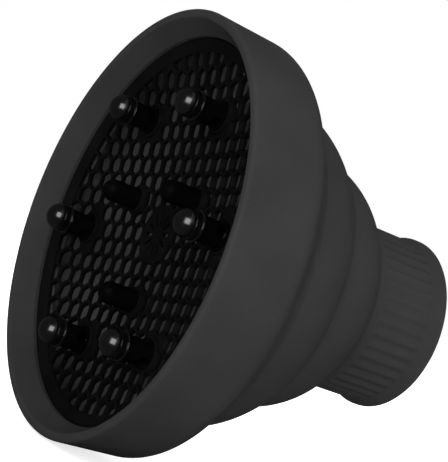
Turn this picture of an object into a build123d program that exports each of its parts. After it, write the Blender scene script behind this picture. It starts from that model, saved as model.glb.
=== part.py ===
from build123d import *
import os
from math import cos, pi, radians, sin

# Collapsible hair-dryer diffuser.
# The Y axis is the axis of symmetry. The origin is the centre of the nozzle socket's mouth, at
# the rear end of the neck, and the open bell faces -Y. Lengths are in millimetres.
# "Depth" is the distance behind the front plane of the lip.

LENGTH = 102.5

# bell
LIP_R = 65.0
LIP_INNER_R = 62.5
LIP_ROUND = 1.1
SHOULDER = (23.3, 64.1)
SHOULDER_ROUND = 8.0
SHOULDER_RUN = 5.0
BELL_WALL = 2.2
SEAT_DEPTH = 10.2
SEAT_R = 58.95
SEAT_LEDGE = 2.4
SEAT_THICKNESS = 1.6
SEAT_GUSSET = 1.6
RECESS_R = 62.0
FLARE_END = 6.6
INNER_SHOULDER_LEAD = 1.0

# creases between the bands: depth, outer radius
CREASE_1 = (34.7, 51.6)
CREASE_2 = (54.5, 40.1)
CREASE_3 = (75.3, 26.6)

# fold bands and the living hinges behind them
BAND_1_BULGE_R = 31.4
BAND_2_BULGE_R = 28.2
BELL_WEB_BULGE_R = 60.0
BAND_WALL = 2.0
WEB_WALL = 1.1
RIGID_SHARE = 0.52

# neck
NECK_R = 26.6
SOCKET_R = 23.0
SOCKET_LENGTH = 25.5
STOP_R = 20.5
END_BAND_R = 27.8
END_BAND_LENGTH = 5.2
END_BAND_ROUND = 1.9
END_BAND_STEP = 0.6
FLUTE_COUNT = 42
FLUTE_R = 1.2
FLUTE_CUT = 0.6
FLUTE_FRONT = 79.0
FLUTE_REAR = 95.6

# grille
GRILLE_R = 58.8
RIM_FRONT = 7.0
RIM_WIDTH = 3.6
DISH_EDGE_DEPTH = 9.0
DISH_CENTRE_DEPTH = 13.2
LATTICE_THICKNESS = 1.5
CELL_PITCH = 6.0
CELL_WALL = 1.0
GRILLE_TURN = 8.0
SMALLEST_CELL = 0.35
ROSETTE_R = 8.4
ROSETTE_SLOTS = 12
SLOT_START = 2.7
SLOT_END = 7.0
SLOT_WIDTH = 1.1
CELL_CLEARANCE = 0.5

# prongs
PRONG_COUNT = 6
PRONG_CIRCLE_R = 40.2
STEM_R = 3.7
STEM_BORE_R = 2.9
STEM_HEIGHT = 7.4
COLLAR_R = 4.5
COLLAR_HEIGHT = 0.7
PAD_R = 5.2
PAD_LIFT = 0.6
WINDOW_COUNT = 3
WINDOW_TURN = 9.0
WINDOW_WIDTH = 3.8
WINDOW_BOTTOM = 0.0
WINDOW_TOP = 3.5
TENON_R = 3.0
TENON_HEIGHT = 1.6
CAP_R = 4.2
CAP_FLANGE_R = 4.5
CAP_FLANGE_HEIGHT = 0.6
CAP_COLLAR_HEIGHT = 2.1
CAP_GAP = 0.05
SHORT_COUNT = 3
SHORT_CIRCLE_R = 20.5
SHORT_R = 3.5
SHORT_HEIGHT = 11.0
SHORT_PAD_R = 4.4
PLUG_R = 3.6
SPIGOT_R = 2.6
PLUG_GAP = 0.05

HONEYCOMB_R = GRILLE_R - RIM_WIDTH
DISH_SAG = DISH_CENTRE_DEPTH - DISH_EDGE_DEPTH
DISH_SPHERE_R = (HONEYCOMB_R**2 + DISH_SAG**2) / (2 * DISH_SAG)


def at(depth, radius):
    """Point of a half section, in the XY plane: X is the radius and Y the position on the axis."""
    return Vector(radius, depth - LENGTH)


def turned(face):
    """Ring made by turning a half section round the axis."""
    return revolve(face, Axis.Y)


def facing_front(depth):
    """Plane across the axis whose normal points at the front and whose x and y are X and Z."""
    return Plane(origin=(0, depth - LENGTH, 0), x_dir=(1, 0, 0), z_dir=(0, -1, 0))


def on_circle(radius, angle):
    """Place on a circle round the axis, with the angle measured from X towards Z."""
    return Location((radius * cos(radians(angle)), radius * sin(radians(angle)), 0))


def inward(arc, point, wall):
    """The point one wall below a point of an arc, on the arc's own radius."""
    centre = arc.arc_center
    return point + (centre - point).normalized() * wall


def band_arc(front, rear, bulge_r):
    """Outer line of a band, bulging away from the axis."""
    arc = RadiusArc(at(*front), at(*rear), bulge_r)
    middle = arc @ 0.5
    chord = (at(*front) + at(*rear)) * 0.5
    if middle.X < chord.X:
        arc = RadiusArc(at(*front), at(*rear), -bulge_r)
    return arc


def sub_arc(arc, start, end):
    """Piece of an arc between two shares of its length."""
    return ThreePointArc(arc @ start, arc @ ((start + end) / 2), arc @ end)


def wall_face(arc, start, end, wall):
    """Half section of a wall of even thickness below a piece of an arc."""
    outer = sub_arc(arc, start, end)
    ends = [inward(arc, arc @ share, wall) for share in (start, end)]
    middle = inward(arc, arc @ ((start + end) / 2), wall)
    inner = ThreePointArc(ends[0], middle, ends[1])
    return make_face([outer, Line(outer @ 1, inner @ 1), inner, Line(inner @ 0, outer @ 0)])


def web_face(arc, start, landing):
    """Half section of a living hinge: from one band's rear edge to the next part's front face."""
    outer = sub_arc(arc, start, 1.0)
    front = inward(arc, arc @ start, WEB_WALL)
    middle = inward(arc, arc @ ((start + 1) / 2), WEB_WALL)
    inner = ThreePointArc(front, middle, landing)
    return make_face([outer, Line(outer @ 1, inner @ 1), inner, Line(inner @ 0, outer @ 0)])


def bell_split():
    """Outer point where the bell's stiff wall ends and its living hinge begins."""
    shoulder = at(*SHOULDER)
    return shoulder + (at(*CREASE_1) - shoulder).normalized() * SHOULDER_RUN


def make_bell():
    """Front bell: rounded lip, flare down to the grille's seat, seat ledge and outer wall."""
    split = bell_split()
    slope = (at(*CREASE_1) - at(*SHOULDER)).normalized()
    below = Vector(-slope.Y, slope.X)
    outline = [
        at(0, LIP_R),
        at(*SHOULDER),
        split,
        split + below * BELL_WALL,
        at(SHOULDER[0] - INNER_SHOULDER_LEAD, SHOULDER[1] - BELL_WALL),
        at(SEAT_DEPTH + SEAT_THICKNESS + SEAT_GUSSET, RECESS_R),
        at(SEAT_DEPTH + SEAT_THICKNESS, SEAT_R - SEAT_LEDGE),
        at(SEAT_DEPTH, SEAT_R - SEAT_LEDGE),
        at(SEAT_DEPTH, SEAT_R),
        at(FLARE_END, SEAT_R),
        at(0, LIP_INNER_R),
    ]
    section = make_face(Polyline(*outline, close=True))

    def corners(*points):
        return [v for v in section.vertices() if any((Vector(v) - p).length < 0.01 for p in points)]

    section = fillet(corners(at(*SHOULDER)), SHOULDER_ROUND)
    section = fillet(corners(at(0, LIP_R), at(0, LIP_INNER_R)), LIP_ROUND)
    return turned(section)


def make_bell_web(band_1):
    """Living hinge from the end of the bell's wall to the first crease."""
    run = SHOULDER_RUN / (at(*CREASE_1) - at(*SHOULDER)).length
    front = [a + (b - a) * run for a, b in zip(SHOULDER, CREASE_1)]
    arc = band_arc(front, CREASE_1, BELL_WEB_BULGE_R)
    landing = inward(band_1, band_1 @ 0, WEB_WALL)
    return turned(web_face(arc, 0.0, landing))


def make_neck():
    """Neck sleeve: nozzle socket with a stop ledge, fluted grip and plain end band."""
    step = LENGTH - END_BAND_LENGTH
    outline = [
        at(CREASE_3[0], STOP_R),
        at(CREASE_3[0], NECK_R),
        at(step, NECK_R),
        at(step + END_BAND_STEP, END_BAND_R),
        at(LENGTH, END_BAND_R),
        at(LENGTH, SOCKET_R),
        at(LENGTH - SOCKET_LENGTH, SOCKET_R),
        at(LENGTH - SOCKET_LENGTH, STOP_R),
    ]
    section = make_face(Polyline(*outline, close=True))
    rear_corner = at(LENGTH, END_BAND_R)
    section = fillet(
        [v for v in section.vertices() if (Vector(v) - rear_corner).length < 0.01], END_BAND_ROUND
    )
    sleeve = turned(section)
    length = FLUTE_REAR - FLUTE_FRONT
    middle = (FLUTE_REAR + FLUTE_FRONT) / 2 - LENGTH
    flute = Rot(90, 0, 0) * Cylinder(FLUTE_R, length)
    flute += [Pos(0, side * length / 2, 0) * Sphere(FLUTE_R) for side in (-1, 1)]
    centre_r = NECK_R + FLUTE_R - FLUTE_CUT
    flutes = [
        Rot(0, 360 * n / FLUTE_COUNT, 0) * Pos(centre_r, middle, 0) * flute
        for n in range(FLUTE_COUNT)
    ]
    return sleeve - flutes


def dish_depth(radius, behind=0.0):
    """Depth of the dished front sphere, or of the sphere a distance behind it."""
    sphere_r = DISH_SPHERE_R + behind
    return DISH_CENTRE_DEPTH - DISH_SPHERE_R + (sphere_r**2 - radius**2) ** 0.5


def dish_arc(radius, behind=0.0):
    """Line of the dish from the axis out to a radius."""
    points = [at(dish_depth(r, behind), r) for r in (0, radius / 2, radius)]
    return ThreePointArc(*points)


def prong_angles():
    return [GRILLE_TURN + 360 * n / PRONG_COUNT for n in range(PRONG_COUNT)]


def short_angles():
    start = GRILLE_TURN + 180 / PRONG_COUNT
    return [start + 360 * n / SHORT_COUNT for n in range(SHORT_COUNT)]


def solid_discs():
    """Parts of the honeycomb that stay closed: centre x and y, radius. The first prong lies on x."""
    discs = [(0, 0, ROSETTE_R + CELL_CLEARANCE)]
    for circle_r, pad_r, angles in (
        (PRONG_CIRCLE_R, PAD_R, prong_angles()),
        (SHORT_CIRCLE_R, SHORT_PAD_R, short_angles()),
    ):
        for angle in angles:
            turn = radians(angle - GRILLE_TURN)
            discs.append((circle_r * cos(turn), circle_r * sin(turn), pad_r + CELL_CLEARANCE))
    return discs


def cell_centres():
    """Centres of the honeycomb cells, with one row of cells along the first prong's radius."""
    row_pitch = CELL_PITCH * sin(pi / 3)
    rows = int(HONEYCOMB_R / row_pitch) + 1
    columns = int(HONEYCOMB_R / CELL_PITCH) + 1
    centres = []
    for row in range(-rows, rows + 1):
        for column in range(-columns, columns + 1):
            centres.append((CELL_PITCH * (column + 0.5 * (row % 2)), row_pitch * row))
    return centres


def honeycomb_openings():
    """Openings of the honeycomb, cut back at the rim, the rosette and the prong pads. Slivers
    stay closed."""
    hexagon = RegularPolygon((CELL_PITCH - CELL_WALL) / 2, 6, major_radius=False, rotation=30)
    reach = CELL_PITCH / 2
    rim = Circle(HONEYCOMB_R)
    openings = []
    for x, y in cell_centres():
        distance = (x * x + y * y) ** 0.5
        cell = Pos(x, y) * hexagon
        if distance > HONEYCOMB_R + reach:
            continue
        if distance > HONEYCOMB_R - reach:
            cell = rim & cell
        for disc_x, disc_y, radius in solid_discs():
            gap = ((x - disc_x) ** 2 + (y - disc_y) ** 2) ** 0.5
            if gap < radius + reach:
                cell = cell - Pos(disc_x, disc_y) * Circle(radius)
        openings += [face for face in cell.faces() if face.area > SMALLEST_CELL * hexagon.area]
    return openings


def rosette_openings():
    """Radial slots of the centre rosette."""
    slot = Pos((SLOT_START + SLOT_END) / 2, 0) * SlotOverall(SLOT_END - SLOT_START, SLOT_WIDTH)
    slots = [Rot(0, 0, 360 * n / ROSETTE_SLOTS) * slot for n in range(ROSETTE_SLOTS)]
    return [slot.face() for slot in slots]


def grille_section():
    """Half section of the grille: dished plate with an even thickness, and the rim round it."""
    foot_r = SEAT_R - SEAT_LEDGE
    front = dish_arc(HONEYCOMB_R)
    back = dish_arc(foot_r, LATTICE_THICKNESS)
    rim = Polyline(
        front @ 1, at(RIM_FRONT, GRILLE_R), at(SEAT_DEPTH, GRILLE_R), at(SEAT_DEPTH, foot_r), back @ 1
    )
    return make_face([front, *rim.edges(), back, Line(back @ 0, front @ 0)])


def make_grille():
    """Grille: sloping rim, dished honeycomb, centre rosette and a pad under each prong."""
    openings = [face.outer_wire() for face in honeycomb_openings() + rosette_openings()]
    sheet = Face(Circle(2 * GRILLE_R).wire(), openings)
    behind = facing_front(2 * DISH_CENTRE_DEPTH) * Rot(0, 0, GRILLE_TURN)
    plate = turned(grille_section()) & extrude(behind * sheet, 2 * DISH_CENTRE_DEPTH)
    pad_height = LATTICE_THICKNESS + 2 * PAD_LIFT
    pads, holes = [], []
    places = [(PRONG_CIRCLE_R, PAD_R, PLUG_R, angle) for angle in prong_angles()]
    places += [(SHORT_CIRCLE_R, SHORT_PAD_R, SPIGOT_R, angle) for angle in short_angles()]
    for circle_r, pad_r, hole_r, angle in places:
        rear = facing_front(dish_depth(circle_r) + LATTICE_THICKNESS + PAD_LIFT)
        place = rear * on_circle(circle_r, angle)
        pads.append(place * extrude(Circle(pad_r), pad_height))
        holes.append(place * extrude(Circle(hole_r), 2 * pad_height, both=True))
    return plate + pads - holes


def prong_place(angle):
    """Frame on top of a long prong's pad, with z pointing out of the bell."""
    return facing_front(dish_depth(PRONG_CIRCLE_R) - PAD_LIFT) * on_circle(PRONG_CIRCLE_R, angle)


def make_stem(angle):
    """Hollow stem with a base collar, windows at its foot, a root plug and a tenon for the cap."""
    root = LATTICE_THICKNESS + 2 * PAD_LIFT
    stem = extrude(Circle(COLLAR_R), COLLAR_HEIGHT)
    stem += extrude(Circle(STEM_R), STEM_HEIGHT)
    stem += Pos(0, 0, STEM_HEIGHT) * extrude(Circle(TENON_R), TENON_HEIGHT)
    stem += Pos(0, 0, -root) * extrude(Circle(PLUG_R - PLUG_GAP), root)
    stem -= Pos(0, 0, -root) * extrude(Circle(STEM_BORE_R), root + WINDOW_TOP)
    window_height = WINDOW_TOP - WINDOW_BOTTOM
    window = Pos(0, 0, WINDOW_BOTTOM + window_height / 2) * Rot(0, 90, 0)
    window *= extrude(Ellipse(window_height / 2, WINDOW_WIDTH / 2), 2 * STEM_R)
    for n in range(WINDOW_COUNT):
        stem -= Rot(0, 0, angle + WINDOW_TURN + 360 * n / WINDOW_COUNT) * window
    return prong_place(angle) * stem


def make_cap(angle):
    """Acorn cap: flange, straight collar and dome, with a blind hole for the stem's tenon."""
    dome_centre = CAP_FLANGE_HEIGHT + CAP_COLLAR_HEIGHT
    cap = extrude(Circle(CAP_FLANGE_R), CAP_FLANGE_HEIGHT)
    cap += extrude(Circle(CAP_R), dome_centre)
    dome = Sphere(CAP_R, arc_size1=0, align=(Align.CENTER, Align.CENTER, Align.MIN))
    cap += Pos(0, 0, dome_centre) * dome
    cap -= extrude(Circle(TENON_R + CAP_GAP), TENON_HEIGHT + CAP_GAP)
    return prong_place(angle) * Pos(0, 0, STEM_HEIGHT) * cap


def make_short_prong(angle):
    """Plain dome-ended pin with a spigot in the grille."""
    root = LATTICE_THICKNESS + 2 * PAD_LIFT
    pin = extrude(Circle(SHORT_R), SHORT_HEIGHT - SHORT_R)
    pin += Pos(0, 0, SHORT_HEIGHT - SHORT_R) * Sphere(SHORT_R)
    pin += Pos(0, 0, -root) * extrude(Circle(SPIGOT_R - PLUG_GAP), root)
    return facing_front(dish_depth(SHORT_CIRCLE_R) - PAD_LIFT) * on_circle(SHORT_CIRCLE_R, angle) * pin


def make_nodes():
    """Every separate piece of the diffuser, by node name."""
    band_1 = band_arc(CREASE_1, CREASE_2, BAND_1_BULGE_R)
    band_2 = band_arc(CREASE_2, CREASE_3, BAND_2_BULGE_R)
    nodes = {
        "front_bell": make_bell(),
        "hinge_web_1": make_bell_web(band_1),
        "fold_band_1": turned(wall_face(band_1, 0.0, RIGID_SHARE, BAND_WALL)),
        "hinge_web_2": turned(web_face(band_1, RIGID_SHARE, inward(band_2, band_2 @ 0, WEB_WALL))),
        "fold_band_2": turned(wall_face(band_2, 0.0, RIGID_SHARE, BAND_WALL)),
        "hinge_web_3": turned(web_face(band_2, RIGID_SHARE, at(CREASE_3[0], NECK_R - WEB_WALL))),
        "neck_sleeve": make_neck(),
        "grille_plate": make_grille(),
    }
    for n, angle in enumerate(prong_angles(), 1):
        nodes[f"prong_stem_{n}"] = make_stem(angle)
        nodes[f"prong_cap_{n}"] = make_cap(angle)
    for n, angle in enumerate(short_angles(), 1):
        nodes[f"short_prong_{n}"] = make_short_prong(angle)
    return nodes


os.makedirs("parts", exist_ok=True)
for name, shape in make_nodes().items():
    export_step(shape, f"parts/{name}.step")
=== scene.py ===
from math import acos, atan2, ceil, cos, hypot, pi, radians, sin, sqrt, tan

import bmesh
import bpy
import numpy as np
from mathutils import Matrix, Vector


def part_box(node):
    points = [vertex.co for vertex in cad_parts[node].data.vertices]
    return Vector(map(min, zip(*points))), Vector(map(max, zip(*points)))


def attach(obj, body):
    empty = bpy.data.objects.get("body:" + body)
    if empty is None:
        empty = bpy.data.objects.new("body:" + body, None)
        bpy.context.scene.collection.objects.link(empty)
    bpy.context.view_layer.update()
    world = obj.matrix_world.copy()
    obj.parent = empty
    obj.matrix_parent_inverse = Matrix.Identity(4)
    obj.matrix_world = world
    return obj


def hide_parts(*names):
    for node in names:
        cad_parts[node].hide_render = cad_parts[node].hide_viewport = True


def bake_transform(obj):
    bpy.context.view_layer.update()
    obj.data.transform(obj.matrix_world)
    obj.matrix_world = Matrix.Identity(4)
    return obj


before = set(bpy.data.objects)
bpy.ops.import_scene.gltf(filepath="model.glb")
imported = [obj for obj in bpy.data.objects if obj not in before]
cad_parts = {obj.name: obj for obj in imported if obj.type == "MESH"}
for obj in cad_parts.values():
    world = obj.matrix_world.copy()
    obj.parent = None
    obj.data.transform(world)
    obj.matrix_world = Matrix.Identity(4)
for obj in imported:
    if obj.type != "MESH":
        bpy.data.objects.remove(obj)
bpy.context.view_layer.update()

# Collapsible dryer diffuser. The Y axis is the axis of symmetry and the bell opens towards -Y.
# "Depth" is the distance behind the front plane of the lip. Sizes are in metres, written in MM.
MM = 0.001
LIP_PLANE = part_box("front_bell")[0].y
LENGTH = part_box("neck_sleeve")[1].y - LIP_PLANE

# silicone body: outer radii and creases come from the CAD nodes
LIP_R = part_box("front_bell")[1].x
LIP_INNER_R = LIP_R - 2.5 * MM
LIP_ROUND = 1.1 * MM
SHOULDER = (23.3 * MM, 64.1 * MM)
SHOULDER_ROUND = 8 * MM
WEB_START = (26.7 * MM, 60.4 * MM)
CREASE_1 = (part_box("fold_band_1")[0].y - LIP_PLANE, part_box("fold_band_1")[1].x)
CREASE_2 = (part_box("fold_band_2")[0].y - LIP_PLANE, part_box("fold_band_2")[1].x)
CREASE_3 = (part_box("neck_sleeve")[0].y - LIP_PLANE, 26.6 * MM)
BAND_1_BULGE_R = 31.4 * MM
BAND_2_BULGE_R = 28.2 * MM
BELL_WALL = 2.2 * MM
BAND_WALL = 1.9 * MM
HINGE_WALL = 1.1 * MM
CREASE_LAP = 0.6 * MM
TONGUE_DROPS = (0.5 * MM, 1.4 * MM)
RIDGE = 0.42 * MM
RIDGE_RUN = 1.3 * MM
RIGID_SHARE = 0.42
RIM_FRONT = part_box("grille_plate")[0].y - LIP_PLANE
RIM_HEIGHT = 3.2 * MM
SEAT_DEPTH = RIM_FRONT + RIM_HEIGHT
SEAT_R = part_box("grille_plate")[1].x + 0.15 * MM
SEAT_LEDGE = 2.4 * MM
SEAT_THICKNESS = 1.6 * MM
SEAT_GAP = 0.02 * MM

# neck
NECK_R = CREASE_3[1]
SOCKET_R = 23 * MM
SOCKET_LENGTH = 25.5 * MM
STOP_R = 20.5 * MM
END_BAND_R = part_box("neck_sleeve")[1].x
END_BAND_LENGTH = 5.2 * MM
END_BAND_ROUND = 1.9 * MM
END_BAND_RAMP = (-0.8 * MM, 2.0 * MM)
FLUTE_COUNT = 42
FLUTE_CUT = 0.48 * MM
FLUTE_FRONT = 78.4 * MM
FLUTE_REAR = 97.2 * MM
FLUTE_RUN_OUT = 1.3 * MM

# grille
GRILLE_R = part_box("grille_plate")[1].x
HONEYCOMB_R = GRILLE_R - 3.6 * MM
LATTICE_TUCK = 0.2 * MM
DISH_EDGE_DEPTH = 9 * MM
DISH_CENTRE_DEPTH = 13.2 * MM
LATTICE_THICKNESS = 1.5 * MM
CELL_PITCH = 6 * MM
CELL_WALL = 1 * MM
CELL_ROUND = 0.55 * MM
LATTICE_BEVEL = 0.1 * MM
WALL_LEAN = 4.5
RIM_STRETCH = 1.3
STRETCH_BELT = 7 * MM
RIM_GAP = 0.3 * MM
ROSETTE_CLEAR_R = 8.9 * MM
PAD_R = 5.2 * MM
PAD_BORE_R = 3.5 * MM
PAD_CLEAR_R = 5.6 * MM
SHORT_PAD_R = 4.4 * MM
SHORT_PAD_CLEAR_R = 4.8 * MM
PAD_LIFT = 0.6 * MM
SPIGOT_R = 2.5 * MM
SMALLEST_CELL = 0.35
MERGE_GAP = 0.25 * MM
ROSETTE_SLOTS = 12
SLOT_START = 2.7 * MM
SLOT_END = 7.0 * MM
SLOT_WIDTH = 1.1 * MM

# prong caps
CAP_FLANGE_HEIGHT = 0.6 * MM
CAP_LIP = 0.3 * MM
CAP_SEAM = 0.14 * MM

RINGS = 288

# surroundings: strength for diffuse rays, for glossy rays, and the floor's own glow
WORLD_LIGHT = 0.76
WORLD_GLOSS = 0.05
FLOOR_GLOW = 0.75

# camera: stands to the side of the open bell at the height of its axis
CAMERA_ANGLE = 64.24
CAMERA_DISTANCE = 422.5 * MM
CAMERA_ROLL = 20.958
CAMERA_LENS = 115.09
AIM_SIDE = 3.987
AIM_UP = 1.057


# ---------------------------------------------------------------- profiles


def arc_through(start, end, bulge_r, steps):
    """Points of a circular arc from start to end that bulges away from the axis."""
    (d0, r0), (d1, r1) = start, end
    chord = hypot(d1 - d0, r1 - r0)
    along = ((d1 - d0) / chord, (r1 - r0) / chord)
    outward = (-along[1], along[0])
    half = chord / 2
    drop = sqrt(bulge_r**2 - half**2)
    centre = ((d0 + d1) / 2 - outward[0] * drop, (r0 + r1) / 2 - outward[1] * drop)
    half_angle = atan2(half, drop)
    points = []
    for step in range(steps + 1):
        turn = half_angle * (2 * step / steps - 1)
        points.append(
            (
                centre[0] + bulge_r * (sin(turn) * along[0] + cos(turn) * outward[0]),
                centre[1] + bulge_r * (sin(turn) * along[1] + cos(turn) * outward[1]),
            )
        )
    return points, centre


def towards(point, target, distance):
    """The point at a distance from point on the way to target."""
    gap = hypot(target[0] - point[0], target[1] - point[1])
    share = distance / gap
    return (point[0] + (target[0] - point[0]) * share, point[1] + (target[1] - point[1]) * share)


def rounded(corners, steps=6):
    """Closed outline with each (depth, radius, rounding) corner replaced by an arc of that rounding."""
    outline = []
    count = len(corners)
    for n, (depth, radius, rounding) in enumerate(corners):
        here = Vector((depth, radius))
        before = Vector(corners[n - 1][:2]) - here
        after = Vector(corners[(n + 1) % count][:2]) - here
        if rounding <= 0:
            outline.append((depth, radius))
            continue
        half = acos(max(-1, min(1, before.normalized().dot(after.normalized())))) / 2
        run = min(rounding / tan(half), before.length * 0.49, after.length * 0.49)
        arc_r = run * tan(half)
        bisector = (before.normalized() + after.normalized()).normalized()
        centre = here + bisector * (arc_r / sin(half))
        first = here + before.normalized() * run - centre
        last = here + after.normalized() * run - centre
        turn = pi - 2 * half
        sign = 1 if first.x * last.y - first.y * last.x > 0 else -1
        for step in range(steps + 1):
            angle = sign * turn * step / steps
            spoke = Vector(
                (
                    first.x * cos(angle) - first.y * sin(angle),
                    first.x * sin(angle) + first.y * cos(angle),
                )
            )
            outline.append(tuple(centre + spoke))
    return outline


def subdivided(points, longest):
    """Points with each long straight stretch cut into pieces no longer than longest."""
    out = []
    for (d0, r0), (d1, r1) in zip(points, points[1:] + points[:1]):
        pieces = max(1, ceil(hypot(d1 - d0, r1 - r0) / longest))
        out += [(d0 + (d1 - d0) * k / pieces, r0 + (r1 - r0) * k / pieces) for k in range(pieces)]
    return out


def ease(share):
    """Smooth step from 0 to 1."""
    share = max(0.0, min(1.0, share))
    return share * share * (3 - 2 * share)


# ---------------------------------------------------------------- meshes


def mesh_object(name, verts, faces, sharp_angle=35):
    """Smooth-shaded mesh object with its normals outward and its corners kept sharp."""
    mesh = bpy.data.meshes.new(name)
    mesh.from_pydata(verts, [], faces)
    piece = bpy.data.objects.new(name, mesh)
    bpy.context.scene.collection.objects.link(piece)
    finish_mesh(mesh, sharp_angle)
    return piece


def finish_mesh(mesh, sharp_angle=35, weld=0.0):
    """Turns the normals outward, smooths the faces and marks edges above an angle as sharp."""
    work = bmesh.new()
    work.from_mesh(mesh)
    if weld:
        bmesh.ops.remove_doubles(work, verts=work.verts, dist=weld)
    bmesh.ops.recalc_face_normals(work, faces=work.faces)
    for face in work.faces:
        face.smooth = True
    for edge in work.edges:
        edge.smooth = len(edge.link_faces) == 2 and edge.calc_face_angle(0) < radians(sharp_angle)
    work.to_mesh(mesh)
    work.free()
    mesh.update()


def lathe(name, outline, centre=(0, 0), segments=RINGS, radius_at=None, sharp_angle=35):
    """Closed ring or solid of a (depth, radius) outline turned round an axis parallel to Y.
    radius_at(angle, depth, radius) can change the radius of a point on the way round."""
    verts, faces, rings = [], [], []
    for depth, radius in outline:
        if radius < 1e-7:
            rings.append([len(verts)])
            verts.append((centre[0], LIP_PLANE + depth, centre[1]))
            continue
        rings.append(list(range(len(verts), len(verts) + segments)))
        for n in range(segments):
            angle = 2 * pi * n / segments
            here = radius_at(angle, depth, radius) if radius_at else radius
            verts.append((centre[0] + here * cos(angle), LIP_PLANE + depth, centre[1] + here * sin(angle)))
    for ring, following in zip(rings, rings[1:] + rings[:1]):
        if len(ring) == 1 and len(following) == 1:
            continue
        for n in range(segments):
            quad = [ring[n % len(ring)], ring[(n + 1) % len(ring)]]
            quad += [following[(n + 1) % len(following)], following[n % len(following)]]
            faces.append(list(dict.fromkeys(quad)))
    return mesh_object(name, verts, faces, sharp_angle)


def fold(piece):
    """Bakes a ring's transform into its mesh and updates the mesh."""
    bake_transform(piece)
    piece.data.update()


# ---------------------------------------------------------------- materials


def node_material(name):
    material = bpy.data.materials.new(name)
    material.use_nodes = True
    tree = material.node_tree
    tree.nodes.clear()
    output = tree.nodes.new("ShaderNodeOutputMaterial")
    shader = tree.nodes.new("ShaderNodeBsdfPrincipled")
    tree.links.new(shader.outputs["BSDF"], output.inputs["Surface"])
    return material, tree, shader


def noise(tree, place, scale, detail=2.0, roughness=0.5):
    texture = tree.nodes.new("ShaderNodeTexNoise")
    texture.inputs["Scale"].default_value = scale
    texture.inputs["Detail"].default_value = detail
    texture.inputs["Roughness"].default_value = roughness
    tree.links.new(place, texture.inputs["Vector"])
    return texture.outputs["Fac"]


def mapped(tree, value, from_min, from_max, to_min, to_max):
    node = tree.nodes.new("ShaderNodeMapRange")
    node.inputs["From Min"].default_value = from_min
    node.inputs["From Max"].default_value = from_max
    node.inputs["To Min"].default_value = to_min
    node.inputs["To Max"].default_value = to_max
    tree.links.new(value, node.inputs["Value"])
    return node.outputs["Result"]


def mixed(tree, factor, first, second):
    """Colour mix of two colours, or of an earlier colour output and a colour."""
    node = tree.nodes.new("ShaderNodeMix")
    node.data_type = "RGBA"
    tree.links.new(factor, node.inputs["Factor"])
    for value, socket in ((first, node.inputs["A"]), (second, node.inputs["B"])):
        if isinstance(value, tuple):
            socket.default_value = (*value, 1)
        else:
            tree.links.new(value, socket)
    return node.outputs["Result"]


def bump(tree, height, strength, distance, shader, under=None):
    node = tree.nodes.new("ShaderNodeBump")
    node.inputs["Strength"].default_value = strength
    node.inputs["Distance"].default_value = distance
    tree.links.new(height, node.inputs["Height"])
    if under is not None:
        tree.links.new(under, node.inputs["Normal"])
    tree.links.new(node.outputs["Normal"], shader.inputs["Normal"])
    return node.outputs["Normal"]


def mark_painted_inner_light(piece):
    """Stores where a turned piece faces the axis behind the grille; the silicone is painted paler there, as
    painted light coming through the grille.
    """
    values = []
    for vertex in piece.data.vertices:
        faces_axis = vertex.normal.x * vertex.co.x + vertex.normal.z * vertex.co.z < 0
        behind_grille = vertex.co.y > LIP_PLANE + SEAT_DEPTH + 1 * MM
        values.append(1.0 if faces_axis and behind_grille else 0.0)
    layer = piece.data.attributes.new("painted_inner_light", "FLOAT", "POINT")
    layer.data.foreach_set("value", values)


def make_silicone():
    """Matte soft-touch silicone: faint mottling, a painted highlight on its convex edges, a fine skin,
    and painted light that makes the inner side behind the grille paler."""
    material, tree, shader = node_material("silicone")
    place = tree.nodes.new("ShaderNodeTexCoord").outputs["Object"]
    cloud = noise(tree, place, 38, 3, 0.55)
    mottle = mapped(tree, cloud, 0.35, 0.65, 0, 1)
    colour = mixed(tree, mottle, (0.026, 0.026, 0.0265), (0.031, 0.031, 0.0315))
    # Painted highlight: convex edges and ridges are painted a lighter grey where the lights would catch
    # them.
    edges = tree.nodes.new("ShaderNodeNewGeometry").outputs["Pointiness"]
    colour = mixed(tree, mapped(tree, edges, 0.505, 0.56, 0, 0.5), colour, (0.044, 0.044, 0.045))
    speck = noise(tree, place, 900, 1, 0.4)
    colour = mixed(tree, mapped(tree, speck, 0.72, 0.8, 0, 0.25), colour, (0.06, 0.06, 0.06))
    # Painted light: the silicone facing the axis behind the grille is painted paler, standing in for light
    # that comes in through the grille.
    painted_inner_light = tree.nodes.new("ShaderNodeAttribute")
    painted_inner_light.attribute_name = "painted_inner_light"
    colour = mixed(tree, painted_inner_light.outputs["Fac"], colour, (0.085, 0.085, 0.086))
    tree.links.new(colour, shader.inputs["Base Color"])
    patch = noise(tree, place, 60, 3, 0.6)
    tree.links.new(mapped(tree, patch, 0.3, 0.7, 0.66, 0.78), shader.inputs["Roughness"])
    shader.inputs["Specular IOR Level"].default_value = 0.16
    grain = noise(tree, place, 2600, 2, 0.6)
    ripple = noise(tree, place, 110, 2, 0.5)
    under = bump(tree, ripple, 0.05, 0.4 * MM, shader)
    bump(tree, grain, 0.18, 0.06 * MM, shader, under)
    return material


def make_grille_plastic(name, dark, light):
    """Moulded near-black plastic with a fine spark-eroded grain, mottled between two greys."""
    material, tree, shader = node_material(name)
    place = tree.nodes.new("ShaderNodeTexCoord").outputs["Object"]
    cloud = noise(tree, place, 70, 3, 0.5)
    colour = mixed(tree, mapped(tree, cloud, 0.35, 0.65, 0, 1), (dark, dark, dark), (light, light, light))
    tree.links.new(colour, shader.inputs["Base Color"])
    patch = noise(tree, place, 150, 2, 0.5)
    tree.links.new(mapped(tree, patch, 0.3, 0.7, 0.42, 0.52), shader.inputs["Roughness"])
    shader.inputs["IOR"].default_value = 1.2
    shader.inputs["Specular IOR Level"].default_value = 0.12
    grain = noise(tree, place, 3200, 2, 0.6)
    bump(tree, grain, 0.25, 0.05 * MM, shader)
    return material


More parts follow.
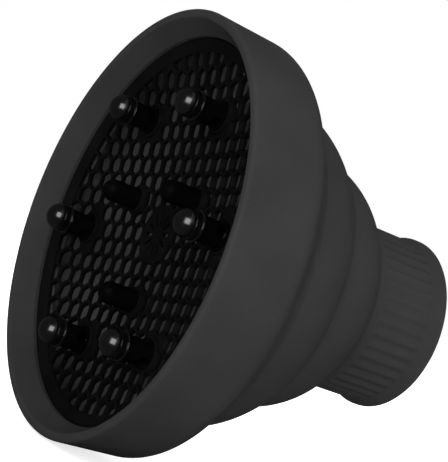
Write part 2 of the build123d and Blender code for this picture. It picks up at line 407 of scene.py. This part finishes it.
def make_cap_plastic():
    """Polished smoky plastic: slight haze and faint flow marks."""
    material, tree, shader = node_material("cap_plastic")
    place = tree.nodes.new("ShaderNodeTexCoord").outputs["Object"]
    cloud = noise(tree, place, 240, 2, 0.5)
    mottle = mapped(tree, cloud, 0.35, 0.65, 0, 1)
    colour = mixed(tree, mottle, (0.0012, 0.0012, 0.0014), (0.0024, 0.0024, 0.0027))
    tree.links.new(colour, shader.inputs["Base Color"])
    haze = noise(tree, place, 500, 3, 0.6)
    tree.links.new(mapped(tree, haze, 0.3, 0.7, 0.17, 0.25), shader.inputs["Roughness"])
    shader.inputs["IOR"].default_value = 1.8
    flow = noise(tree, place, 320, 1, 0.5)
    bump(tree, flow, 0.06, 0.1 * MM, shader)
    return material


def paint(piece, material):
    piece.data.materials.clear()
    piece.data.materials.append(material)


# ---------------------------------------------------------------- silicone body


def wall_below(points, centre, walls):
    """Inner side of a band: each point moved towards the arc's centre by its wall thickness."""
    return [towards(point, centre, wall) for point, wall in zip(points, walls)]


def make_bell():
    """Bell with rounded lip, inner flare, grille seat, shoulder and the hinge web down to crease 1."""
    end = CREASE_1
    slope = Vector(end) - Vector(SHOULDER)
    slope.normalize()
    below = Vector((slope.y, -slope.x))
    if below.y > 0:
        below = -below
    ridge = Vector(end) - slope * RIDGE_RUN - below * RIDGE
    ridge_foot = Vector(end) - slope * 3 * RIDGE_RUN
    inner_web = Vector(WEB_START) + below * BELL_WALL
    corners = [
        (0, LIP_R, LIP_ROUND),
        (*SHOULDER, SHOULDER_ROUND),
        (*ridge_foot, 4 * MM),
        (*ridge, 0.8 * MM),
        (*end, 0.15 * MM),
        *[(end[0] + CREASE_LAP, end[1] - drop, 0) for drop in TONGUE_DROPS],
        (end[0] - 0.4 * MM, end[1] - 1.7 * MM, 0.3 * MM),
        (*inner_web, 3 * MM),
        (SHOULDER[0] - 1 * MM, SHOULDER[1] - BELL_WALL, 3 * MM),
        (SEAT_DEPTH + 2 * SEAT_THICKNESS, LIP_R - BELL_WALL - 0.8 * MM, 1.5 * MM),
        (SEAT_DEPTH + SEAT_THICKNESS, SEAT_R - SEAT_LEDGE, 0.4 * MM),
        (SEAT_DEPTH + SEAT_GAP, SEAT_R - SEAT_LEDGE, 0.2 * MM),
        (SEAT_DEPTH + SEAT_GAP, SEAT_R, 0.1 * MM),
        (RIM_FRONT - 0.4 * MM, SEAT_R, 0.5 * MM),
        (0, LIP_INNER_R, LIP_ROUND),
    ]
    outline = subdivided(rounded(corners, 8), 1.2 * MM)
    piece = lathe("bell_skin", outline)
    mark_painted_inner_light(piece)
    fold(piece)
    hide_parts("front_bell", "hinge_web_1")
    return piece


def make_band(name, front, rear, bulge_r, nodes):
    """Convex fold band: a stiffer front half, then a thinning hinge down to the next crease."""
    steps = 64
    outer, centre = arc_through(front, rear, bulge_r, steps)
    run = RIDGE_RUN / hypot(rear[0] - front[0], rear[1] - front[1])
    lifts = [RIDGE * ease(1 - abs(1 - step / steps - run) / run) for step in range(steps + 1)]
    walls = []
    for step in range(steps + 1):
        share = ease((step / steps - RIGID_SHARE) / (1 - RIGID_SHARE))
        walls.append(BAND_WALL + (HINGE_WALL - BAND_WALL) * share)
    inner = wall_below(outer, centre, walls)
    raised = wall_below(outer, centre, [-lift for lift in lifts])
    tongue = [(rear[0] + CREASE_LAP, rear[1] - drop) for drop in TONGUE_DROPS]
    outline = raised + tongue + inner[::-1]
    piece = lathe(name, outline)
    mark_painted_inner_light(piece)
    fold(piece)
    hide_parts(*nodes)
    return piece


def flute_window(depth):
    """How deep the flutes are at a depth: 0 outside their ends, 1 along the middle."""
    run_in = ease((depth - FLUTE_FRONT) / FLUTE_RUN_OUT)
    run_out = ease((FLUTE_REAR - depth) / FLUTE_RUN_OUT)
    return run_in * run_out


def fluted(angle, depth, radius):
    """Outer radius of the neck with its flutes cut in. The inner faces stay round."""
    if radius < NECK_R - 0.01 * MM:
        return radius
    groove = 0.5 - 0.5 * cos(angle * FLUTE_COUNT)
    return radius - FLUTE_CUT * groove * flute_window(depth)


def make_neck():
    """Neck sleeve: plain shoulder, fluted grip, proud end band, socket and stop ledge."""
    step = LENGTH - END_BAND_LENGTH
    ramp_start, ramp_end = (step + offset for offset in END_BAND_RAMP)
    mouth = LENGTH - SOCKET_LENGTH
    corners = [
        (CREASE_3[0], STOP_R, 0.4 * MM),
        (CREASE_3[0], NECK_R, 0.3 * MM),
        (ramp_start, NECK_R, 2.0 * MM),
        (ramp_end, END_BAND_R, 1.5 * MM),
        (LENGTH, END_BAND_R, END_BAND_ROUND),
        (LENGTH, SOCKET_R, 0.6 * MM),
        (mouth, SOCKET_R, 0.2 * MM),
        (mouth, STOP_R, 0.4 * MM),
    ]
    outline = subdivided(rounded(corners, 6), 0.5 * MM)
    segments = FLUTE_COUNT * 16
    piece = lathe("neck_skin", outline, segments=segments, radius_at=fluted, sharp_angle=50)
    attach(piece, "neck")
    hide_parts("neck_sleeve")
    return piece


# ---------------------------------------------------------------- grille and prongs


def node_centre(node):
    """Centre of a CAD node across the axis, as x and z."""
    low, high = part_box(node)
    return ((low.x + high.x) / 2, (low.z + high.z) / 2)


PRONGS = [node_centre(f"prong_cap_{n}") for n in range(1, 7)]
SHORT_PRONGS = [node_centre(f"short_prong_{n}") for n in range(1, 4)]
GRILLE_TURN = atan2(PRONGS[0][1], PRONGS[0][0])
DISH_SAG = DISH_CENTRE_DEPTH - DISH_EDGE_DEPTH
DISH_SPHERE_R = (HONEYCOMB_R**2 + DISH_SAG**2) / (2 * DISH_SAG)


def dish_depth(radius):
    """Depth of the dished grille's front face at a radius."""
    return DISH_CENTRE_DEPTH - DISH_SPHERE_R + sqrt(DISH_SPHERE_R**2 - radius**2)


def hexagon(x, y):
    """Hexagonal cell opening in the grille's own axes, with each side cut in three."""
    corner_r = (CELL_PITCH - CELL_WALL) / 2 / cos(pi / 6)
    corners = [(corner_r * cos(pi / 6 + n * pi / 3), corner_r * sin(pi / 6 + n * pi / 3)) for n in range(6)]
    return subdivided([(x + cx, y + cy) for cx, cy in corners], corner_r * 0.34)


def stretched(point):
    """Moves a point of the outermost cells out towards the rim, and no further than the rim."""
    x, y = point
    radius = hypot(x, y)
    start = HONEYCOMB_R - STRETCH_BELT
    if radius <= start:
        return point
    pulled = min(start + (radius - start) * RIM_STRETCH, HONEYCOMB_R - RIM_GAP)
    return (x * pulled / radius, y * pulled / radius)


def soft_loop(points, rounding):
    """Closed loop with near-doubles merged and its real corners rounded."""
    kept = []
    for point in points:
        if not kept or hypot(point[0] - kept[-1][0], point[1] - kept[-1][1]) > MERGE_GAP:
            kept.append(point)
    if hypot(kept[0][0] - kept[-1][0], kept[0][1] - kept[-1][1]) < MERGE_GAP:
        kept.pop()
    corners = []
    for n, point in enumerate(kept):
        before, after = Vector(kept[n - 1]), Vector(kept[(n + 1) % len(kept)])
        way_in, way_out = Vector(point) - before, after - Vector(point)
        corners.append((*point, rounding if way_in.angle(way_out) > radians(15) else 0))
    return rounded(corners, 4)


def area(points):
    pairs = zip(points, points[1:] + points[:1])
    return abs(sum(x0 * y1 - x1 * y0 for (x0, y0), (x1, y1) in pairs)) / 2


def drawn_in(point, centre, discs):
    """Moves a point that lies on a solid disc back towards its cell's centre, as far as the disc's edge."""
    here, target = Vector(point), Vector(centre)
    for disc_x, disc_y, radius in discs:
        offset = here - Vector((disc_x, disc_y))
        if offset.length >= radius:
            continue
        way = target - here
        across = offset.dot(way)
        reach = across**2 - way.length_squared * (offset.length_squared - radius**2)
        here = here + way * ((sqrt(reach) - across) / way.length_squared)
    return tuple(here)


def cell_openings():
    """Honeycomb openings, cut back at the rim, the rosette and the prong pads, in the grille's own axes."""
    row_pitch = CELL_PITCH * sin(pi / 3)
    rows = int(HONEYCOMB_R / row_pitch) + 1
    columns = int(HONEYCOMB_R / CELL_PITCH) + 1
    full = area(hexagon(0, 0))
    discs = [(0, 0, ROSETTE_CLEAR_R)]
    discs += [(*in_grille(x, z), PAD_CLEAR_R) for x, z in PRONGS]
    discs += [(*in_grille(x, z), SHORT_PAD_CLEAR_R) for x, z in SHORT_PRONGS]
    openings = []
    for row in range(-rows, rows + 1):
        for column in range(-columns, columns + 1):
            x = CELL_PITCH * (column + 0.5 * (row % 2))
            y = row_pitch * row
            on_pad = any(hypot(x - cx, y - cy) <= r for cx, cy, r in discs)
            if on_pad or hypot(x, y) > HONEYCOMB_R + CELL_PITCH / 2:
                continue
            centre = stretched((x, y))
            cell = [drawn_in(stretched(point), centre, discs) for point in hexagon(x, y)]
            if area(cell) > SMALLEST_CELL * full:
                openings.append(soft_loop(cell, CELL_ROUND))
    return openings


def in_grille(x, z):
    """A point across the axis, in the grille's own axes."""
    return (
        x * cos(GRILLE_TURN) + z * sin(GRILLE_TURN),
        -x * sin(GRILLE_TURN) + z * cos(GRILLE_TURN),
    )


def slot_openings():
    """Radial slots of the centre rosette."""
    openings = []
    half = SLOT_WIDTH / 2
    for n in range(ROSETTE_SLOTS):
        turn = n * 2 * pi / ROSETTE_SLOTS
        points = []
        for end, way in ((SLOT_END - half, 0), (SLOT_START + half, pi)):
            for step in range(9):
                spoke = way - pi / 2 + pi * step / 8
                along = end + half * cos(spoke)
                across = half * sin(spoke)
                points.append(
                    (along * cos(turn) - across * sin(turn), along * sin(turn) + across * cos(turn))
                )
        openings.append(points)
    return openings


def circle(radius, count=RINGS, centre=(0, 0)):
    """Points of a circle, in the grille's own axes."""
    spokes = [2 * pi * n / count for n in range(count)]
    return [(centre[0] + radius * cos(spoke), centre[1] + radius * sin(spoke)) for spoke in spokes]


def make_lattice():
    """Dished honeycomb plate with rounded edges on every opening. Its cell walls lean with the dish."""
    curve = bpy.data.curves.new("grille_lattice", "CURVE")
    curve.dimensions = "2D"
    curve.fill_mode = "BOTH"
    curve.extrude = LATTICE_THICKNESS / 2 - LATTICE_BEVEL
    curve.bevel_depth = LATTICE_BEVEL
    curve.bevel_resolution = 1
    curve.offset = -LATTICE_BEVEL
    bores = [circle(PAD_BORE_R, 48, in_grille(x, z)) for x, z in PRONGS]
    for loop in [circle(HONEYCOMB_R + LATTICE_TUCK)] + cell_openings() + slot_openings() + bores:
        spline = curve.splines.new("POLY")
        spline.points.add(len(loop) - 1)
        for point, (x, y) in zip(spline.points, loop):
            point.co = (x, y, 0, 1)
        spline.use_cyclic_u = True
    source = bpy.data.objects.new("grille_curve", curve)
    bpy.context.scene.collection.objects.link(source)
    graph = bpy.context.evaluated_depsgraph_get()
    mesh = bpy.data.meshes.new_from_object(source.evaluated_get(graph))
    bpy.data.objects.remove(source)
    for vertex in mesh.vertices:
        x, y, z = vertex.co
        behind = LATTICE_THICKNESS / 2 - z
        depth = dish_depth(min(hypot(x, y), HONEYCOMB_R)) + behind
        spread = 1 + WALL_LEAN * behind / DISH_SPHERE_R
        spoke_x = spread * (x * cos(GRILLE_TURN) - y * sin(GRILLE_TURN))
        spoke_z = spread * (x * sin(GRILLE_TURN) + y * cos(GRILLE_TURN))
        vertex.co = (spoke_x, LIP_PLANE + depth, spoke_z)
    finish_mesh(mesh, 40, weld=0.001 * MM)
    mesh.name = "grille_lattice"
    piece = bpy.data.objects.new("grille_lattice", mesh)
    bpy.context.scene.collection.objects.link(piece)
    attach(piece, "grille")
    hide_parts("grille_plate")
    return piece


def make_rim():
    """Rim ring of the grille: sloping front face with a fine step at its outer edge."""
    corners = [
        (dish_depth(HONEYCOMB_R) - 0.1 * MM, HONEYCOMB_R, 0.25 * MM),
        (RIM_FRONT + 0.35 * MM, GRILLE_R - 0.7 * MM, 0.3 * MM),
        (RIM_FRONT + 0.5 * MM, GRILLE_R, 0.3 * MM),
        (SEAT_DEPTH, GRILLE_R, 0.2 * MM),
        (SEAT_DEPTH, HONEYCOMB_R, 0.2 * MM),
    ]
    piece = lathe("grille_rim", rounded(corners, 4))
    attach(piece, "grille")
    return piece


def make_pad(name, place, radius, bore_r):
    """Pad under a prong: a low boss that stands proud of the plate on both faces."""
    middle = dish_depth(hypot(*place))
    front, back = middle - PAD_LIFT, middle + LATTICE_THICKNESS + PAD_LIFT
    corners = [
        (front, bore_r, 0.05 * MM),
        (front, radius, 0.25 * MM),
        (back, radius, 0.25 * MM),
        (back, bore_r, 0.15 * MM),
    ]
    piece = lathe(name, rounded(corners, 3), place, 72)
    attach(piece, "grille")
    return piece


def make_cap(number):
    """Acorn cap: thin flange, collar band, fine seam and a full dome."""
    low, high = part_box(f"prong_cap_{number}")
    rear = high.y - LIP_PLANE
    tip = low.y - LIP_PLANE
    flange_r = (high.x - low.x) / 2
    dome_r = flange_r - CAP_LIP
    dome_rear = tip + dome_r
    waist = rear - CAP_FLANGE_HEIGHT
    corners = [
        (rear, 0, 0),
        (rear, flange_r - 0.1 * MM, 0.2 * MM),
        (rear - 0.3 * MM, flange_r, 0.25 * MM),
        (waist, flange_r - 0.05 * MM, 0.12 * MM),
        (waist - 0.12 * MM, dome_r - 0.1 * MM, 0.08 * MM),
        (dome_rear + CAP_SEAM, dome_r, 0.06 * MM),
        (dome_rear + CAP_SEAM / 2, dome_r - CAP_SEAM, 0.04 * MM),
        (dome_rear, dome_r, 0.06 * MM),
    ]
    outline = rounded(corners, 4)
    steps = 24
    for step in range(1, steps + 1):
        turn = pi / 2 * step / steps
        outline.append((dome_rear - dome_r * sin(turn), dome_r * cos(turn) if step < steps else 0))
    piece = lathe(f"prong_cap_skin_{number}", outline, PRONGS[number - 1], 96, sharp_angle=60)
    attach(piece, "grille")
    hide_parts(f"prong_cap_{number}")
    return piece


def make_short_prong(number):
    """Plain pin with a rounded foot and a dome end."""
    low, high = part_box(f"short_prong_{number}")
    tip = low.y - LIP_PLANE
    radius = (high.x - low.x) / 2
    x, z = SHORT_PRONGS[number - 1]
    foot = high.y - LIP_PLANE
    pad_top = dish_depth(hypot(x, z)) - PAD_LIFT
    corners = [
        (foot, 0, 0),
        (foot, SPIGOT_R, 0.2 * MM),
        (pad_top, SPIGOT_R, 0.05 * MM),
        (pad_top, radius + 0.3 * MM, 0.1 * MM),
        (pad_top - 0.3 * MM, radius, 0.3 * MM),
    ]
    outline = rounded(corners, 4)
    steps = 20
    draft = 0.2 * MM
    dome_r = radius - draft
    for step in range(steps + 1):
        turn = pi / 2 * step / steps
        outline.append((tip + dome_r - dome_r * sin(turn), dome_r * cos(turn) if step < steps else 0))
    piece = lathe(f"short_prong_skin_{number}", outline, (x, z), 72, sharp_angle=50)
    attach(piece, "grille")
    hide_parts(f"short_prong_{number}")
    return piece


# ---------------------------------------------------------------- studio


def make_studio():
    """Plain pale floor, and surroundings that the camera sees as white."""
    scene = bpy.context.scene
    scene.view_settings.view_transform = "Standard"
    world = bpy.data.worlds.new("studio")
    scene.world = world
    world.use_nodes = True
    tree = world.node_tree
    tree.nodes.clear()
    output = tree.nodes.new("ShaderNodeOutputWorld")
    seen = tree.nodes.new("ShaderNodeBackground")
    seen.inputs["Color"].default_value = (1, 1, 1, 1)
    seen.inputs["Strength"].default_value = 1.0
    lit = tree.nodes.new("ShaderNodeBackground")
    lit.inputs["Color"].default_value = (1, 1, 1, 1)
    mix = tree.nodes.new("ShaderNodeMixShader")
    ray = tree.nodes.new("ShaderNodeLightPath")
    strength = mapped(tree, ray.outputs["Is Glossy Ray"], 0, 1, WORLD_LIGHT, WORLD_GLOSS)
    tree.links.new(strength, lit.inputs["Strength"])
    tree.links.new(ray.outputs["Is Camera Ray"], mix.inputs["Fac"])
    tree.links.new(lit.outputs["Background"], mix.inputs[1])
    tree.links.new(seen.outputs["Background"], mix.inputs[2])
    tree.links.new(mix.outputs["Shader"], output.inputs["Surface"])

    work = bmesh.new()
    bmesh.ops.create_circle(work, cap_ends=True, radius=4.0, segments=96)
    mesh = bpy.data.meshes.new("floor")
    work.to_mesh(mesh)
    work.free()
    floor = bpy.data.objects.new("floor", mesh)
    floor.location = (0, LIP_PLANE / 2, -LIP_R - 0.5 * MM)
    scene.collection.objects.link(floor)
    material, tree, shader = node_material("floor_white")
    place = tree.nodes.new("ShaderNodeTexCoord").outputs["Object"]
    cloud = noise(tree, place, 3, 2, 0.5)
    tree.links.new(mixed(tree, cloud, (0.8, 0.8, 0.8), (0.84, 0.84, 0.84)), shader.inputs["Base Color"])
    shader.inputs["Roughness"].default_value = 0.9
    glow = tree.nodes.new("ShaderNodeEmission")
    ray = tree.nodes.new("ShaderNodeLightPath")
    tree.links.new(mapped(tree, ray.outputs["Is Camera Ray"], 0, 1, 0, FLOOR_GLOW), glow.inputs["Strength"])
    total = tree.nodes.new("ShaderNodeAddShader")
    output = next(n for n in tree.nodes if n.type == "OUTPUT_MATERIAL")
    tree.links.new(shader.outputs["BSDF"], total.inputs[0])
    tree.links.new(glow.outputs["Emission"], total.inputs[1])
    tree.links.new(total.outputs["Shader"], output.inputs["Surface"])
    mesh.materials.append(material)
    floor.visible_glossy = False


def add_light(name, azimuth, elevation, distance, size, power, mirrored=True):
    """Square soft light aimed at the middle of the object. Azimuth 0 is in front of the bell.
    A light that is not mirrored lights the surfaces but isn't seen in the glossy ones."""
    light = bpy.data.lights.new(name, "AREA")
    light.shape = "SQUARE"
    light.size = size
    light.energy = power
    lamp = bpy.data.objects.new(name, light)
    a, e = radians(azimuth), radians(elevation)
    away = Vector((sin(a) * cos(e), -cos(a) * cos(e), sin(e)))
    middle = Vector((0, LIP_PLANE / 2, 0))
    lamp.location = middle + away * distance
    lamp.rotation_mode = "QUATERNION"
    lamp.rotation_quaternion = (-away).to_track_quat("-Z", "Y")
    lamp.visible_glossy = mirrored
    bpy.context.scene.collection.objects.link(lamp)


def make_lights():
    add_light("front", 48, 14, 0.75, 0.5, 2.9)
    add_light("side", 85, 35, 1.2, 1.0, 0.7)
    add_light("top", 150, 65, 1.2, 1.0, 1.8)
    add_light("rear", 140, 2, 1.2, 0.8, 2.9)
    add_light("far", 250, 25, 1.2, 1.0, 9.0, mirrored=False)


def make_camera():
    """Long-lens camera aimed a little off the lip's centre and rolled, as the object lies on its side."""
    turn = radians(CAMERA_ANGLE)
    back = Vector((sin(turn), -cos(turn), 0))
    side = Vector((cos(turn), sin(turn), 0))
    up = Vector((0, 0, 1))
    aim, tip, roll = radians(AIM_SIDE), radians(AIM_UP), radians(CAMERA_ROLL)
    side, turned_back = side * cos(aim) + back * sin(aim), back * cos(aim) - side * sin(aim)
    up, turned_back = up * cos(tip) + turned_back * sin(tip), turned_back * cos(tip) - up * sin(tip)
    right = side * cos(roll) + up * sin(roll)
    above = up * cos(roll) - side * sin(roll)
    camera = bpy.data.cameras.new("camera")
    camera.lens = CAMERA_LENS
    camera.clip_start = 0.01
    holder = bpy.data.objects.new("camera", camera)
    place = Matrix((right, above, turned_back)).transposed().to_4x4()
    place.translation = Vector((0, LIP_PLANE, 0)) + back * CAMERA_DISTANCE
    holder.matrix_world = place
    bpy.context.scene.collection.objects.link(holder)
    bpy.context.scene.camera = holder


silicone = make_silicone()
grille_plastic = make_grille_plastic("grille_plastic", 0.0034, 0.0048)
# prong_plastic is the grille's own plastic in darker greys: painted shade that keeps the prongs and their
# stems near black.
prong_plastic = make_grille_plastic("prong_plastic", 0.0012, 0.002)
cap_plastic = make_cap_plastic()

for body in (
    make_bell(),
    make_band(
        "band_1_skin", CREASE_1, CREASE_2, BAND_1_BULGE_R,
        ("fold_band_1", "hinge_web_2"),
    ),
    make_band(
        "band_2_skin", CREASE_2, CREASE_3, BAND_2_BULGE_R,
        ("fold_band_2", "hinge_web_3"),
    ),
    make_neck(),
):
    paint(body, silicone)
grille = [make_lattice(), make_rim()]
grille += [make_pad(f"prong_pad_{n}", place, PAD_R, PAD_BORE_R) for n, place in enumerate(PRONGS, 1)]
grille += [
    make_pad(f"short_pad_{n}", place, SHORT_PAD_R, SPIGOT_R) for n, place in enumerate(SHORT_PRONGS, 1)
]
for piece in grille:
    paint(piece, grille_plastic)
for n in range(1, 4):
    paint(make_short_prong(n), prong_plastic)
for n in range(1, 7):
    paint(make_cap(n), cap_plastic)
    paint(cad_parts[f"prong_stem_{n}"], prong_plastic)

make_studio()
make_lights()
make_camera()
